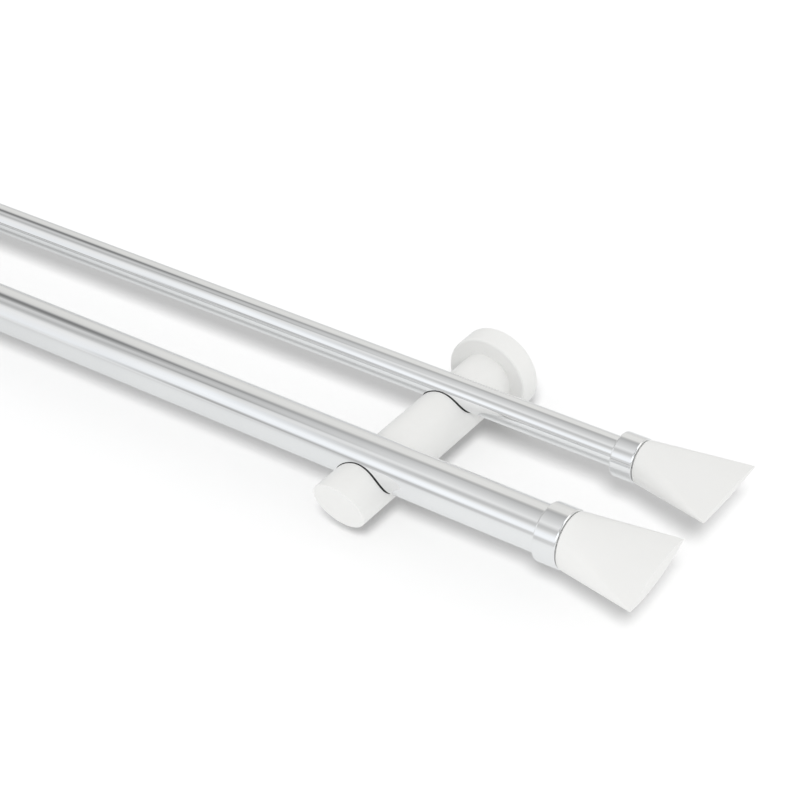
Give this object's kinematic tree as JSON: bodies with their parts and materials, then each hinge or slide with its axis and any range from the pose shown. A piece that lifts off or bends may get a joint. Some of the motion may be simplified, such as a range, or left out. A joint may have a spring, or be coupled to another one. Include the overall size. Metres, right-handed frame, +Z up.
{
  "type": "double curtain rod",
  "caption": "Double curtain rod: two round tubes, one thick and one thin, on round wall arms with saddle cuts, with collars and fan-shaped finials that pull off.",
  "frame": {"origin": "on the wall, midway between the two brackets, at the height of the arms' axes", "axes": "+X along the rods, +Y into the wall, +Z up; the room is at -Y"},
  "size_m": [1.3048, 0.1464, 0.0496],
  "materials": {
    "chrome": "bright chrome plating",
    "white_lacquer": "smooth white lacquer",
    "white_plastic": "smooth white moulding",
    "zinc_steel": "zinc-plated steel",
    "grey_plastic": "plain moulding"
  },
  "bodies": {
    "rods_and_brackets": {"front_rod": "chrome", "back_rod": "chrome", "right_arm": "white_lacquer", "right_rosette": "white_lacquer", "right_wall_plate": "zinc_steel", "right_front_rod_screw": "zinc_steel", "right_back_rod_screw": "zinc_steel", "right_lock_screw": "zinc_steel", "left_arm": "white_lacquer", "left_rosette": "white_lacquer", "left_wall_plate": "zinc_steel", "left_front_rod_screw": "zinc_steel", "left_back_rod_screw": "zinc_steel", "left_lock_screw": "zinc_steel"},
    "front_right_finial": {"front_right_collar": "chrome", "front_right_fan": "white_plastic", "front_right_plug": "grey_plastic"},
    "front_left_finial": {"front_left_collar": "chrome", "front_left_fan": "white_plastic", "front_left_plug": "grey_plastic"},
    "back_right_finial": {"back_right_collar": "chrome", "back_right_fan": "white_plastic", "back_right_plug": "grey_plastic"},
    "back_left_finial": {"back_left_collar": "chrome", "back_left_fan": "white_plastic", "back_left_plug": "grey_plastic"}
  },
  "joints": [
    {"name": "front_right_finial_pull", "type": "slide", "parent": "rods_and_brackets", "child": "front_right_finial", "axis": [1, 0, 0], "range_m": [0, 0.032]},
    {"name": "front_left_finial_pull", "type": "slide", "parent": "rods_and_brackets", "child": "front_left_finial", "axis": [-1, 0, 0], "range_m": [0, 0.032]},
    {"name": "back_right_finial_pull", "type": "slide", "parent": "rods_and_brackets", "child": "back_right_finial", "axis": [1, 0, 0], "range_m": [0, 0.032]},
    {"name": "back_left_finial_pull", "type": "slide", "parent": "rods_and_brackets", "child": "back_left_finial", "axis": [-1, 0, 0], "range_m": [0, 0.032]}
  ]
}
